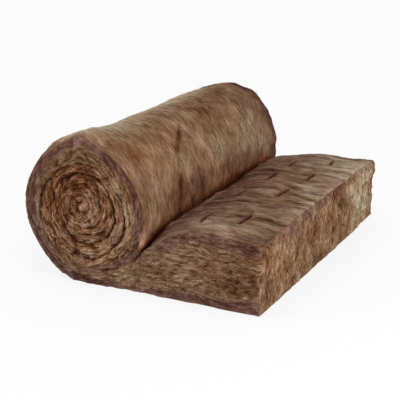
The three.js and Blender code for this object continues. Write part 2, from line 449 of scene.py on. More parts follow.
def cut_relief(mat):
    """The cut faces: torn layers of fibre, slits between them, and the gap between the turns."""
    layers = streaks(mat, 0.048, 0.0095, 41)
    clumps = streaks(mat, 0.04, 0.022, 43)
    tufts = patches(mat, 0.02, 44)
    swell = patches(mat, 0.13, 45)
    wound_in = smooth(mat.turns, 0.7, 1.1)
    core = in_core(mat)
    slits = smooth(streaks(mat, 0.045, 0.0105, 47, octaves=1), 0.24, 0.55) * mix(0.3, 1, wound_in)
    slits = np.maximum(slits * (1 - 0.5 * core), core * smooth(patches(mat, 0.017, 98), 0.3, 0.65))
    slipped = 0.01 * noise(mat.turns * 2.7, mat.y, 0.5, 49) * smooth(mat.turns, 0.5, 1.2)
    pillow = 0.004 * wound_in * smooth(mat.gap, 0, 0.016)
    opened = gap_depth(mat) * (1 - 0.85 * core)
    height = 0.0034 * layers + 0.0036 * clumps + 0.0022 * tufts + 0.0065 * swell + slipped + pillow
    height = height - 0.008 * slits - 0.02 * opened + 0.009 * core * patches(mat, 0.026, 46)
    fine = streaks(mat, 0.024, 0.0055, 48, octaves=1)
    tone = mix(0.32, 0.6, wound_in) * layers + 0.24 * clumps + 0.2 * tufts
    tone = tone + mix(0.15, 0.6, wound_in) * fine + 0.06 * wound_in
    tone += core * (0.5 + 0.5 * patches(mat, 0.016, 50))
    return height, tone, np.maximum(opened, 0.75 * slits)


def face_relief(mat):
    """The mat's two faces: soft lumps, and faint ridges of fibre along the mat."""
    lumps = 0.0065 * patches(mat, 0.21, 51) + 0.0022 * patches(mat, 0.075, 52)
    bumps = 0.0016 * patches(mat, 0.034, 59)
    ridges = streaks(mat, 0.11, 0.03, 53)
    fine = streaks(mat, 0.045, 0.008, 55)
    blots = patches(mat, 0.055, 57) + 0.6 * patches(mat, 0.026, 58)
    height = lumps + bumps + 0.0016 * ridges + 0.0008 * fine
    return height, 0.2 * ridges + 0.36 * fine + 0.32 * blots


def free_relief(mat):
    """The free end: the layers' torn ends, which show as upright flecks and small tufts."""
    flecks = noise(mat.z / 0.026, mat.aside / 0.0105, mat.x / 0.02, 61)
    fine = noise(mat.z / 0.011, mat.aside / 0.0065, mat.x / 0.02, 62)
    tufts = noise(mat.z / 0.05, mat.aside / 0.026, mat.x / 0.03, 63)
    swell = patches(mat, 0.16, 64)
    clumps = patches(mat, 0.06, 65)
    height = 0.0026 * flecks + 0.0012 * fine + 0.0045 * tufts + 0.0065 * swell + 0.0035 * clumps
    return height, 0.28 * flecks + 0.22 * fine + 0.34 * tufts + 0.45 * clumps


# Each crease: its Y, its angle on the round, its reach in degrees, half its width, its depth, and how much
# its Y changes with each degree.
ROLL_CREASES = (
    (-0.145, 55, 10, 0.019, 0.01, 0.0075),
    (-0.1, 49, 4, 0.03, 0.004, 0),
    (-0.297, 20, 10, 0.013, 0.006, 0.002),
    (0.115, 5, 9, 0.012, 0.006, 0),
)


def roll_creases(mat):
    """How far the roll's surface is pulled in, at its creases and at the fine folds near its top."""
    angle = np.mod(np.degrees(np.arctan2(mat.z - MIDDLE_HEIGHT, mat.x - ROLL_X)), 360)
    wander = 0.024 * noise(angle / 19, 0.5, 0.5, 71) + 0.012 * noise(angle / 7, 0.5, 0.5, 72)
    total = 0
    for y, turned, reach, width, depth, slope in ROLL_CREASES:
        away = mat.y + wander - y - slope * (angle - turned)
        total += depth * bell(away, 0, width) * bell(angle, turned, reach)
    oblique = noise((angle * 0.0044 + mat.y) / 0.011, (angle * 0.0044 - mat.y) / 0.16, 0.5, 73)
    return total + 0.006 * np.maximum(oblique, 0) * bell(angle, 78, 16) * bell(mat.y, 0.24, 0.16)


def top_wrinkles(mat):
    """Waves and wrinkles along X in the flat end's top: their height, and their painted light and shade."""
    x, y = mat.x, mat.y
    waves = noise(x / 0.42, y / 0.07, 0.5, 82)
    wander = 0.034 * noise(x / 0.2, y / 0.2, 0.5, 81)
    rows = (y + wander) / 0.082 + 0.9 * noise(x / 0.36, y / 0.22, 0.5, 85)
    part = rows - np.floor(rows)
    shown = smooth(noise(x / 0.17, y / 0.09, 2.5, 84), -0.3, 0.4)
    steep = smooth(part, 0, 0.2) * (1 - smooth(part, 0.2, 1))
    line = bell(part, 0.02, 0.12) + bell(part, 1.02, 0.12)
    height = 0.005 * waves + 0.007 * (steep - 0.25) * shown
    # painted light just past each crest, and painted shade along the foot of its steep side
    return height, shown * (0.45 * bell(part, 0.36, 0.16) - 0.9 * line)


def cut_marks(mat):
    """How near each point is to a knife's mark, how far pressed in, and the painted shade in its slit, from
    0 to 1.
    """
    near = pressed = dark = 0
    for setback, middle, length, slope in MARKS:
        away = mat.x - (FREE_X - setback) - slope * (mat.y - middle)
        away += 0.0025 * noise(mat.y / 0.03, setback / 0.01, 0.5, 86)
        inside = smooth(length / 2 - np.abs(mat.y - middle), -0.004, 0.01)
        near += bell(away, 0, 0.03) * inside
        pressed += bell(away, 0, 0.005) * inside
        # painted shade in the slit, a little towards the roll
        dark += bell(away, -0.0035, 0.0072) * inside
    return near, pressed, np.clip(dark, 0, 1)


def find_zones(mat):
    """How far each point is on the cut faces, the free end and the mat's faces, from 0 to 1."""
    mat.on_cut = smooth(np.abs(mat.normals[:, 1]), 0.35, 0.85)
    mat.on_free = smooth(mat.normals[:, 0], 0.35, 0.85) * (mat.x > FREE_X - 0.05)
    mat.on_face = np.clip(1 - mat.on_cut - mat.on_free, 0, 1)
    mat.upward = smooth(mat.normals[:, 2], 0.3, 0.8)
    mat.on_top = mat.upward * mat.on_face * (1 - mat.is_roll)
    mat.on_round = mat.on_face * mat.is_roll
    wander = 0.03 * patches(mat, 0.08, 100) + 0.012 * patches(mat, 0.03, 101)
    mat.far_rim = smooth(mat.y + wander, HALF_WIDTH - 0.075, HALF_WIDTH - 0.01) * mat.on_round
    mat.angle = np.mod(-NIP_ANGLE - 360 * mat.turns, 360)
    contact_x, contact_z = contact_line(mat.y)
    mat.to_nip = np.hypot(mat.x - contact_x, mat.z - contact_z)


def bend_pattern(mat):
    """Makes the fibres' pattern uneven, in depth and aside."""
    uneven = 0.0065 * patches(mat, 0.05, 33) + 0.0036 * patches(mat, 0.021, 34)
    mat.depth += mat.on_cut * uneven
    mat.depth += 0.016 * in_core(mat) * patches(mat, 0.034, 96)
    curls = 0.008 * patches(mat, 0.05, 37) + 0.003 * patches(mat, 0.022, 38)
    curls += (0.02 if mat.is_roll else 0.008) * patches(mat, 0.12, 40)
    swept = smooth(mat.angle, 15, 80) * smooth(mat.angle, 240, 110)
    swept *= smooth(HALF_WIDTH - np.abs(mat.y), 0, 0.15)
    mat.aside = mat.y + (1 - mat.on_cut) * (curls - 0.055 * swept * mat.is_roll)


def sculpt(mat):
    """Moves the points by their relief, and keeps what their colour needs."""
    x, y, z, to_nip, angle = mat.x, mat.y, mat.z, mat.to_nip, mat.angle
    cut, free, face = mat.on_cut, mat.on_free, mat.on_face
    cut_height, cut_tone, mat.gaps = cut_relief(mat)
    face_height, face_tone = face_relief(mat)
    free_height, free_tone = free_relief(mat)
    mat.creases = mat.dark_marks = 0
    if mat.is_roll:
        mat.creases = roll_creases(mat)
        puckered = smooth(y, 0.3, 0.52) * smooth(to_nip, 0.02, 0.08)
        puckers = noise(angle / 17, y / 0.16, 0.5, 99)
        face_height = face_height - mat.creases + 0.009 * puckered * puckers
    else:
        near_mark, pressed_mark, mat.dark_marks = cut_marks(mat)
        unmarked = 1 - 0.8 * near_mark
        wrinkles, wrinkle_shading = top_wrinkles(mat)
        face_tone += wrinkle_shading * unmarked * mat.upward
        face_height = face_height + mat.upward * wrinkles * unmarked - MARK_DEPTH * pressed_mark
    # a narrow lip at the rim of the roll's cut ends: pressed in, and given painted shade
    lip = cut * bell(mat.below, 0.006, 0.004) * bell(angle, 30, 42)
    mat.lip = lip * (mat.turns < 1) * mat.is_roll
    edge = 4 * np.maximum(cut * (1 - cut), free * (1 - free)) * (1 - mat.is_roll)
    nibbled = np.clip(0.003 + 0.007 * patches(mat, 0.045, 93), 0, 0.01)
    nibbled *= edge * smooth(x - NIP_X, 0, 0.05)
    pressed = 0.005 * (bell(to_nip, 0, 0.018) - bell(to_nip, 0, 0.005))
    face_height = face_height * smooth(to_nip, 0, 0.014) - pressed
    free_height *= mix(0.45, 1, smooth(z, 0, 0.05))
    height = cut * cut_height + face * face_height + free * free_height - 0.006 * mat.lip - nibbled
    mat.points += mat.normals * height[:, None]
    flared = smooth(x, ROLL_X, FREE_X) * smooth(z, 0.22, 0) * smooth(y, -0.5, -HALF_WIDTH)
    mat.points[:, 1] -= 0.024 * flared
    foot = smooth(z, 0.09, 0) * mix(0.004, -0.004, smooth(y, 0.3, 0.55))
    far_corner = smooth(y, 0.42, HALF_WIDTH) * smooth(z, 0.06, 0.2)
    mat.points[:, 0] += smooth(x, FREE_X - 0.08, FREE_X) * (foot + 0.006 * far_corner)
    mat.points[:, 2] = np.maximum(mat.points[:, 2], 0)
    inside = np.linalg.norm(mat.normals, axis=1) < 0.5  # the wall's own points
    mat.points[inside, 1] *= 0.96
    # painted light and shade from the relief: raised points lighter, sunken ones darker
    raised = np.clip(height / 0.01, -1.2, 1.2)
    mat.tone = 0.5 + 0.32 * (cut * cut_tone + face * face_tone + free * free_tone) + 0.1 * raised


# ---- colour, point by point
# Places that differ from the rest: X from the roll's middle or from the free end, Y, Z, reach, how much
# lighter (or darker, below 0) and how much greyer (or redder, below 0).
ROLL_SHADES = (
    # on the roll's face
    (-0.02, -0.43, 0.54, 0.11, 0.22, 0.9),
    (0.09, -0.49, 0.495, 0.09, -0.12, -0.9),
    (0.095, 0.13, 0.497, 0.07, -0.16, -0.5),
    (0.086, 0.43, 0.504, 0.09, -0.26, 0.5),
    (0.178, -0.22, 0.44, 0.06, -0.16, -0.4),
    (0.213, -0.21, 0.39, 0.05, 0.28, 0.5),
    (0.22, 0.06, 0.355, 0.055, 0.2, 0.3),
    (0.21, 0.38, 0.39, 0.14, 0.09, 0.6),
    (0.24, -0.335, 0.275, 0.065, -0.27, -1),
    (0.238, -0.14, 0.3, 0.06, -0.18, -0.8),
    (0.22, 0.54, 0.24, 0.09, 0.2, 0.8),
    (0.2143, -0.585, 0.2033, 0.04, 0.2, -0.6),
    (0.2243, -0.53, 0.1883, 0.032, -0.28, -0.4),
    # on the roll's front end
    (-0.13, -0.6, 0.415, 0.055, -0.2, -0.6),
    (-0.145, -0.6, 0.286, 0.04, -0.22, -0.5),
    (-0.19, -0.6, 0.19, 0.06, 0.2, 0.2),
    (-0.005, -0.6, 0.38, 0.04, -0.18, -1.2),
    (-0.01, -0.6, 0.008, 0.05, -0.28, -0.8),
    (0.015, -0.6, 0.095, 0.042, 0.24, 0.6),
    (0.12, -0.6, 0.364, 0.042, 0.32, 0.2),
    (0.155, -0.6, 0.27, 0.038, 0.4, -0.4),
    (0.118, -0.6, 0.19, 0.034, 0.24, 0.8),
)
FREE_SHADES = (
    # on the flat end's front side
    (-0.503, -0.6, 0.07, 0.07, 0.22, 0.2),
    (-0.393, -0.6, 0.18, 0.05, 0.18, 0),
    (-0.075, -0.6, 0.095, 0.06, -0.2, 0.3),
    (-0.05, -0.6, 0.205, 0.035, -0.25, -0.2),
    # on its top
    (-0.318, 0.225, 0.25, 0.05, -0.29, 0),
    (-0.22, -0.52, 0.25, 0.1, 0.17, 0.2),
    (-0.135, -0.582, 0.252, 0.03, 0.32, 0),
    (-0.11, 0.07, 0.25, 0.08, 0.24, 0.4),
    (-0.11, 0.42, 0.25, 0.15, 0.25, 0.5),
    # the next two: painted highlights along the top's edge near the free end
    (-0.06, 0.25, 0.248, 0.05, 0.26, 0.2),
    (-0.025, -0.11, 0.25, 0.035, 0.22, 0),
    # on the free end
    (0, -0.42, 0.1, 0.11, 0.08, 0),
    (0, -0.15, 0.21, 0.05, -0.14, 0),
    (0, 0.13, 0.195, 0.07, -0.2, -0.7),
    (0, 0.44, 0.12, 0.12, 0.31, 0.9),
)


def nearness(mat, x, y, z, reach):
    return bell(np.sqrt((mat.x - x) ** 2 + (mat.y - y) ** 2 + (mat.z - z) ** 2), 0, reach)


def tint(mat):
    """Makes each point lighter or darker, and greyer or redder, by where it lies, partly as painted light
    and shade.
    """
    x, y, z, turns, to_nip = mat.x, mat.y, mat.z, mat.turns, mat.to_nip
    cut, face, on_top, on_round = mat.on_cut, mat.on_face, mat.on_top, mat.on_round
    lighter = 0.08 * patches(mat, 0.15, 35) + 0.1 * patches(mat, 0.06, 36)
    greyer = 0.4 * patches(mat, 0.19, 75) + 0.5 * patches(mat, 0.07, 76)
    for start, shades in ((ROLL_X, ROLL_SHADES), (FREE_X, FREE_SHADES)):
        for away, *place, light, grey in shades:
            near = nearness(mat, start + away, *place)
            lighter += light * near
            greyer += grey * near
    greyer = greyer * (1 - 0.4 * cut) + mix(0.15, -0.55, smooth(turns, 0.6, 1.1)) * cut
    between_ends = smooth(y, -0.42, -0.25) * smooth(y, 0.46, 0.36)
    # low on the cut faces: painted light against the floor's shade, and greyer
    painted_light_low = smooth(z, 0.085, 0.03) * cut * smooth(x, ROLL_X, ROLL_X + 0.3)
    ring = smooth(turns, 0.12, 0.2) * smooth(turns, 1.14, 1.04) * (1 - bell(turns, 0.66, 0.14))
    pale_ring = bell(mat.above, 0.01, 0.009) * ring * smooth(mat.below, 0.035, 0.055) * cut
    # painted light on the flat end's top beside the nip, against its shade: how strong along Y
    painted_lip_light = 0.12 + 0.85 * bell(y, -0.19, 0.15) - 0.26 * bell(y, 0.14, 0.12)
    # a painted highlight on the top along the free end's edge, save near the front corner
    free_edge_highlight = bell(x, FREE_X - 0.012, 0.035) * smooth(y, -0.55, -0.3)
    zones = (  # how far each point is in a zone, and how much lighter and greyer that makes it
        (mat.on_free * cut, 0.35, 0),
        (mat.far_rim, -0.22, 0),
        # painted light low on the cut faces
        (painted_light_low, 0.03, 0.2),
        (pale_ring, 0.16, 0.6),
        # painted shade in the roll's creases, also redder
        (mat.creases * face, -26, -90),
        # a painted highlight along the top of the roll, also greyer
        (bell(mat.angle, 107, 16) * on_round, 0.42, 0.6),
        # beside the nip: painted shade of its crevice, a little darker on the roll, darker between the ends,
        # and redder
        (bell(to_nip, 0, 0.055) * on_round, -0.02, -1),
        (bell(to_nip, 0, 0.06) * on_round * between_ends, -0.18, 0),
        (bell(to_nip, 0, 0.026) * face, 0, -2.2),
        (bell(to_nip, 0, 0.12) * on_top, 0, -0.6),
        # painted light on the flat end's top just beside the nip
        (bell(to_nip, 0.02, 0.022) * on_top * painted_lip_light, 1, 0),
        (smooth(x, *BY_ROLL) * on_top, 0.06, 0),
        (free_edge_highlight * on_top, 0.24, 0),
        (on_top, -0.04, 0.45),
    )
    for share, light, grey in zones:
        lighter += light * share
        greyer += grey * share
    mat.tone += lighter
    mat.hue = np.clip((greyer + 2) / 3, 0, 1)


# Purplish stains on the faces: X, Y, Z, reach and strength.
STAINS = (
    (FREE_X - 0.322, 0.218, 0.25, 0.055, 1.3),
    (FREE_X - 0.3, -0.08, 0.25, 0.06, 0.45),
    (ROLL_X + 0.235, 0.15, 0.29, 0.05, 0.45),
    (ROLL_X + 0.237, 0.3, 0.29, 0.055, 0.45),
    (ROLL_X + 0.24, -0.345, 0.28, 0.04, 0.55),
    (ROLL_X + 0.237, -0.15, 0.3, 0.045, 0.55),
    (ROLL_X + 0.185, 0.49, 0.43, 0.09, 0.35),
    (ROLL_X + 0.245, 0.57, 0.27, 0.05, 0.6),
)


BY_ROLL = (FREE_X - 0.1, FREE_X - 0.3)  # between these X the flat end's top gets more purplish


def skin_colour(mat):
    """Where the mat's purplish brown faces show at its cut edges and in stains, from 0 to 1."""
    x, y, turns, below, angle = mat.x, mat.y, mat.turns, mat.below, mat.angle
    cut, free = mat.on_cut, mat.on_free
    wound = (turns > 0) * (turns < 1)
    reach = 0.036 + (0.024 * bell(angle, 200, 58) - 0.013 * bell(angle, 38, 20)) * wound
    reach += 0.012 * smooth(x, ROLL_X + 0.25, FREE_X) * (turns == 0)
    reach -= 0.018 * bell(x, ROLL_X + 0.18, 0.09) * (turns < 0.3)
    start = (0.016 * bell(angle, 128, 22) + 0.018 * bell(angle, 335, 22) * (turns > 0.5)) * wound
    outer = smooth(below, reach + start, 0.6 * reach + start) * smooth(below, start - 0.008, start + 0.004)
    outer *= mix(1, 0.18, smooth(turns, 0.95, 1.4))
    past_nip = smooth(x, NIP_X, NIP_X + 0.1)
    inner_reach = 0.034 + 0.03 * past_nip - 0.3 * turns + 0.012 * patches(mat, 0.06, 95)
    inner = smooth(mat.above, inner_reach, 0.3 * inner_reach) * (turns < 0.1) * mix(0.3, 1, past_nip)
    broken = 1.15 + 0.5 * streaks(mat, 0.09, 0.012, 91, octaves=1)
    torn_back = 0.036 + 0.036 * patches(mat, 0.17, 97) + 0.022 * bell(y, -0.32, 0.16)
    torn_back = np.maximum(torn_back, 0.01)
    at_top = smooth(mat.above, torn_back, 0.25 * torn_back) * (0.5 + 0.8 * patches(mat, 0.1, 92))
    stained = 0.8 * mat.far_rim
    for *place, share in STAINS:
        stained += share * nearness(mat, *place) * (1 - cut - free)
    return np.clip(cut * np.maximum(outer, inner) * broken + free * at_top + stained * broken, 0, 1)


def stain_and_shade(mat):
    """How purplish each point is, how torn, and its painted shade in the gaps, marks, lip and nip."""
    y, to_nip, cut, face, on_top = mat.y, mat.to_nip, mat.on_cut, mat.on_face, mat.on_top
    mottled = smooth(patches(mat, 0.085, 94), 0, 0.5)
    plum = (0.17 + 0.26 * smooth(mat.x, *BY_ROLL) + 0.35 * mottled) * on_top
    # purplish towards the nip, the colour of its painted shade
    plum += 0.2 * bell(to_nip, 0, 0.07) * face
    plum += 0.12 * cut * smooth(mat.x, NIP_X, NIP_X + 0.08) * (1 - mat.is_roll)
    mat.plum = np.maximum(skin_colour(mat), plum)
    mat.torn = cut * mix(0.45, 1, smooth(mat.turns, 0.6, 1.1)) + 0.45 * mat.on_free
    # painted shade in the nip's crevice, weaker in places along Y, with a faint halo of it on the flat end's
    # top
    weaker = 0.85 * bell(y, -0.17, 0.2) + 0.35 * smooth(y, 0.18, 0.34) + 0.5 * smooth(y, 0.38, 0.5)
    crevice_shade = (1.2 - weaker) * bell(to_nip, 0, 0.0105) * face + 0.2 * bell(to_nip, 0, 0.03) * on_top
    # painted shade: in the gaps and slits, the knife's marks, at the lip and in the nip's crevice
    deep = cut * mat.gaps + crevice_shade + 0.85 * mat.dark_marks + 0.35 * mat.lip
    mat.deep = np.clip(deep, 0, 1)


SLANT = 0.11  # how far the fine pattern shifts with height, so that it also changes along upright fibres


def lay_pattern(mat):
    """Each point's place in the material's fine pattern, which is drawn out along the fibres."""
    stretch = np.where(mat.on_cut > 0.5, 1.8, 1)
    level = stretch * mat.x, mat.aside - SLANT * mat.z, mat.depth + SLANT * mat.z
    upright = 2.2 * mat.z, mat.aside, mat.x
    mat.fibre = np.where(mat.on_free > 0.5, upright, level).T


def finish(mat):
    """Gives a plain surface its relief, and the values that its material reads."""
    find_zones(mat)
    bend_pattern(mat)
    sculpt(mat)
    tint(mat)
    stain_and_shade(mat)
    lay_pattern(mat)


def join(under, beside):
    """Moves the start of the flat end's cut faces to where the wound end's cut faces stop."""
    for side in ("front", "back"):
        edge = under.points[getattr(under, side)[0]]
        grid = getattr(beside, side)
        start = beside.points[grid[0]]
        shift = np.interp(start[:, 2], edge[:, 2], edge[:, 1]) - start[:, 1]
        fading = smooth(beside.x[grid], NIP_X + 0.02, NIP_X)
        beside.points[grid, 1] += fading * shift


# ---- the wool's material
def linear(*channels):
    """A colour written as it looks, from 0 to 255, in the linear values that shaders take."""
    return (*(((c / 255 + 0.055) / 1.055) ** 2.4 if c > 10 else c / 3294.6 for c in channels), 1)


class Nodes:
    """Short ways to add nodes to a material or the world."""

    def __init__(self, tree):
        self.tree = tree

    def add(self, kind, inputs=(), **settings):
        node = self.tree.nodes.new("ShaderNode" + kind)
        for name, value in settings.items():
            setattr(node, name, value)
        for name, value in dict(inputs).items():
            self.set(node.inputs[name], value)
        return node

    def set(self, socket, value):
        if isinstance(value, bpy.types.NodeSocket):
            self.tree.links.new(value, socket)
        else:
            socket.default_value = value

    def math(self, operation, a, b, clamp=False):
        return self.add("Math", {0: a, 1: b}, operation=operation, use_clamp=clamp).outputs[0]

    def value(self, name):
        return self.add("Attribute", attribute_name=name).outputs["Fac"]

    def noise(self, vector, scale, detail):
        return self.add("TexNoise", {"Vector": vector, "Scale": scale, "Detail": detail}).outputs["Fac"]

    def mix(self, share, a, b, blend="MIX"):
        return self.add("Mix", {0: share, 6: a, 7: b}, data_type="RGBA", blend_type=blend).outputs[2]

    def ramp(self, share, colours, places):
        node = self.add("ValToRGB", {"Fac": share})
        elements = node.color_ramp.elements
        for place in places[2:]:
            elements.new(place)
        for element, place, colour in zip(elements, places, colours):
            element.position = place
            element.color = linear(*colour)
        return node.outputs["Color"]


# Colours as they look, from dark to light and from red to grey, and where the wool's five colours lie.
WOOL_STOPS = (0, 0.26, 0.52, 0.78, 1)
FACE_WOOL = ((64, 36, 21), (104, 73, 52), (137, 108, 84), (167, 141, 116), (198, 177, 153))
TORN_WOOL = ((58, 25, 7), (98, 60, 31), (127, 93, 64), (157, 127, 99), (190, 166, 140))
PLUM_WOOL = ((48, 25, 21), (99, 67, 58), (148, 114, 102))
HUES = ((255, 205, 168), (255, 230, 214), (255, 250, 245), (243, 254, 255))
# the colour of the painted shade in the gaps, slits, marks and the nip
PAINTED_SHADE_COLOUR = (64, 20, 7)


def new_material(name, roughness, specular):
    """A material, its shader and the means to add nodes to it."""
    material = bpy.data.materials.new(name)
    material.use_nodes = True
    shader = material.node_tree.nodes["Principled BSDF"]
    shader.inputs["Roughness"].default_value = roughness
    shader.inputs["Specular IOR Level"].default_value = specular
    return material, shader, Nodes(material.node_tree)


def wool_material():
    material, shader, make = new_material("mineral wool", roughness=0.95, specular=0.02)
    fibre = make.add("Attribute", attribute_name="fibre").outputs["Vector"]
    torn = make.value("torn")
    place = make.add("TexCoord").outputs["Object"]
    wide = make.add("Mapping", {"Vector": fibre, "Scale": (16, 100, 100)}).outputs["Vector"]
    fine = make.add("Mapping", {"Vector": fibre, "Scale": (36, 320, 320)}).outputs["Vector"]
    wide_noise, fine_noise = make.noise(wide, 1, 3), make.noise(fine, 1, 2)
    blotches = make.noise(place, 14, 4)

    wide_share = make.math("ADD", make.math("MULTIPLY", torn, 0.55), 0.42)
    fine_share = make.math("ADD", make.math("MULTIPLY", torn, 0.25), 0.4)
    tone = make.value("tone")
    for pattern, share in ((wide_noise, wide_share), (fine_noise, fine_share), (blotches, 0.35)):
        tone = make.math("ADD", tone, make.math("MULTIPLY", make.math("SUBTRACT", pattern, 0.5), share))
    face_wool, torn_wool = (make.ramp(tone, colours, WOOL_STOPS) for colours in (FACE_WOOL, TORN_WOOL))
    hue = make.ramp(make.value("hue"), HUES, (0, 0.333, 0.667, 1))
    wool = make.mix(1, make.mix(torn, face_wool, torn_wool), hue, blend="MULTIPLY")
    plum_share = make.math("MULTIPLY", make.value("plum"), 0.92, clamp=True)
    colour = make.mix(plum_share, wool, make.ramp(tone, PLUM_WOOL, (0, 0.5, 1)))
    # painted shade: mixes in a dark red-brown where a point lies in a gap, a slit, a mark or the nip
    painted_shade_share = make.math("MULTIPLY", make.value("deep"), 0.9, clamp=True)
    colour = make.mix(painted_shade_share, colour, linear(*PAINTED_SHADE_COLOUR))
    make.set(shader.inputs["Base Color"], colour)
    height = make.math("ADD", make.math("MULTIPLY", wide_noise, 0.7), make.math("MULTIPLY", fine_noise, 0.3))
    bump = make.add("Bump", {"Height": height, "Distance": 0.004, "Strength": 0.6})
    make.set(shader.inputs["Normal"], bump.outputs["Normal"])
    return material


wool = wool_material()


def add_piece(name, points, skin, wall, values):
    piece = add_mesh(name, points, skin, wall, values)
    piece.data.materials.append(wool)
    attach(piece, "root")
    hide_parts("wool_mat")
    return piece


# ---- loose fibres
FIBRE_LINE = np.array([-0.5, -0.28, 0, 0.28, 0.5])  # where along a fibre its tips and the rings between are
FIBRE_SIDES = 3
CANDIDATES = 4  # how many fibres are tried for each one that is laid
SHORTENINGS = 3  # how often a fibre that would cross a gap or a slit is made shorter
BRIDGING = 0.25  # the share of fibres on torn wool that may cross one
SEAM_STEPS = 40  # how far round the first turn the flat end's side fibres may lie


def sample(field, a, b):
    """A grid's value between its points, at row a and column b."""
    row = np.clip(a.astype(int), 0, field.shape[0] - 2)
    column = np.clip(b.astype(int), 0, field.shape[1] - 2)
    s, t = a - row, b - column
    if field.ndim == 3:
        s, t = s[..., None], t[..., None]
    near = mix(field[row, column], field[row, column + 1], t)
    far = mix(field[row + 1, column], field[row + 1, column + 1], t)
    return mix(near, far, s)


def fields(mat, grid):
    """A grid's points, with what the fibres on it need to know of each."""
    normals = point_normals(mat.points, mat.skin)
    named = {name: getattr(mat, name)[grid] for name in VALUES}
    return {"points": mat.points[grid], "normals": normals[grid], **named}


def joined_side(side):
    """The flat end's cut face and the start of the first turn, so that fibres cross where they meet."""
    under, beside = fields(wound, getattr(wound, side)), fields(flat, getattr(flat, side))
    across = np.linspace(0, TURN_ROWS, FLAT_ROWS + 1)
    rows, columns = np.meshgrid(np.arange(SEAM_STEPS, 0, -1), across, indexing="ij")
    return {name: np.concatenate([sample(under[name], rows, columns), beside[name]]) for name in beside}


def moved_in(lines, last):
    """Shifts lines of row or column numbers until they lie between 0 and the last."""
    least, most = lines.min(1, keepdims=True), lines.max(1, keepdims=True)
    return lines + np.maximum(-least, 0) - np.maximum(most - last, 0)


def trace_fibres(field, count, length, width, sweep, lean, rng):
    """Fibres' lines on a field, as rows and columns, with their radii, lengths and how torn they are."""
    points, t = field["points"], FIBRE_LINE
    by_row = np.linalg.norm(np.diff(points, axis=0), axis=2)[:, :-1]
    by_column = np.linalg.norm(np.diff(points, axis=1), axis=2)[:-1]
    off_floor = (field["normals"][:-1, :-1, 2] > -0.93) * (points[:-1, :-1, 2] > 0.01)
    area = by_row * by_column * off_floor
    tries = CANDIDATES * count, 1  # so that each draw is a column, with a row for each try
    chosen = rng.choice(area.size, size=tries, p=area.ravel() / area.sum())
    row, column = np.unravel_index(chosen, area.shape)
    row_step, column_step = (np.maximum(step[row, column], 4e-4) for step in (by_row, by_column))
    torn = field["torn"][row, column]
    radius = width[0] * (width[1] / width[0]) ** rng.random(tries) / 2
    turned = np.radians(rng.normal(sweep, lean, tries))
    bend = rng.normal(0, 0.014 * lean, tries)
    wave = rng.normal(0, 0.06, tries)
    phase = rng.random(tries)
    forward = np.cos(turned) * t
    side = np.sin(turned) * t + bend * (t**2 - 0.08)
    side += wave * np.sin(2 * np.pi * (1.3 * t + phase))
    row = row + rng.random(tries)
    column = column + rng.random(tries)
    reach = length[0] * (length[1] / length[0]) ** rng.random(tries)
    bridging = rng.random(tries) < BRIDGING * torn
    last_row, last_column = np.array(field["deep"].shape) - 1
    for _ in range(SHORTENINGS + 1):
        a = moved_in(row + reach * forward / row_step, last_row)
        b = moved_in(column + reach * side / column_step, last_column)
        crossed = np.zeros(tries)
        for share in (0, 0.25, 0.5, 0.75):
            between = (mix(line[:, :-1], line[:, 1:], share) for line in (a, b))
            crossed = np.maximum(crossed, sample(field["deep"], *between).max(1, keepdims=True))
        stopped = (crossed > 0.5) & ~bridging
        reach = np.where(stopped, 0.55 * reach, reach)
    inside = np.all(~stopped & (a >= 0) & (a <= last_row) & (b >= 0) & (b <= last_column), axis=1)
    kept = np.flatnonzero(inside)[:count]
    return a[kept], b[kept], radius[kept], reach[kept], torn[kept, 0]


def lay_fibres(field, count, length, width, sweep, lean, lift, seed):
    """Slim closed tufts that follow a field's rows. Returns their points, faces and values."""
    rng = np.random.default_rng(seed)
    a, b, radius, reach, torn = trace_fibres(field, count, length, width, sweep, lean, rng)
    middle = sample(field["points"], a, b)
    up = unit(sample(field["normals"], a, b))
    across = unit(np.cross(up, np.gradient(middle, axis=1)))
    t = FIBRE_LINE
    arch = rng.random(len(a))[:, None] * (1 - 4 * t**2)
    lifted = radius * (0.25 + 0.9 * arch) + reach * lift * arch
    middle += up * lifted[..., None]
    girth = radius * (1 - (2 * t[1:-1]) ** 4)
    rings = []
    for corner in range(FIBRE_SIDES):
        turn = 2 * np.pi * (corner / FIBRE_SIDES + 0.25)
        shift = across[:, 1:-1] * math.cos(turn) + 0.8 * up[:, 1:-1] * math.sin(turn)
        rings.append(middle[:, 1:-1] + shift * girth[..., None])
    body = np.stack(rings, 2).reshape(len(a), -1, 3)
    vertices = np.concatenate([middle[:, :1], body, middle[:, -1:]], 1)
    size = vertices.shape[1]
    faces = (fibre_faces() + size * np.arange(len(a))[:, None, None]).reshape(-1, 4)
    stations = np.repeat(np.arange(len(t)), [1, *[FIBRE_SIDES] * (len(t) - 2), 1])
    values = {name: np.concatenate(sample(field[name], a, b)[:, stations]) for name in VALUES}
    values["tone"] += np.repeat(rng.normal(0.03, 0.11 + 0.12 * torn), size)
    return np.concatenate(vertices), faces, values


def fibre_faces():
    """One fibre's faces, from a grid with a row for each ring. A tip fills a whole row."""
    rings = 1 + np.arange((len(FIBRE_LINE) - 2) * FIBRE_SIDES).reshape(-1, FIBRE_SIDES)
    grid = np.pad(rings, ((1, 1), (0, 0)), constant_values=((0, rings.size + 1), (0, 0)))
    after = np.roll(grid, -1, axis=1)
    return np.stack([grid[:-1], grid[1:], after[1:], after[:-1]], -1).reshape(-1, 4)


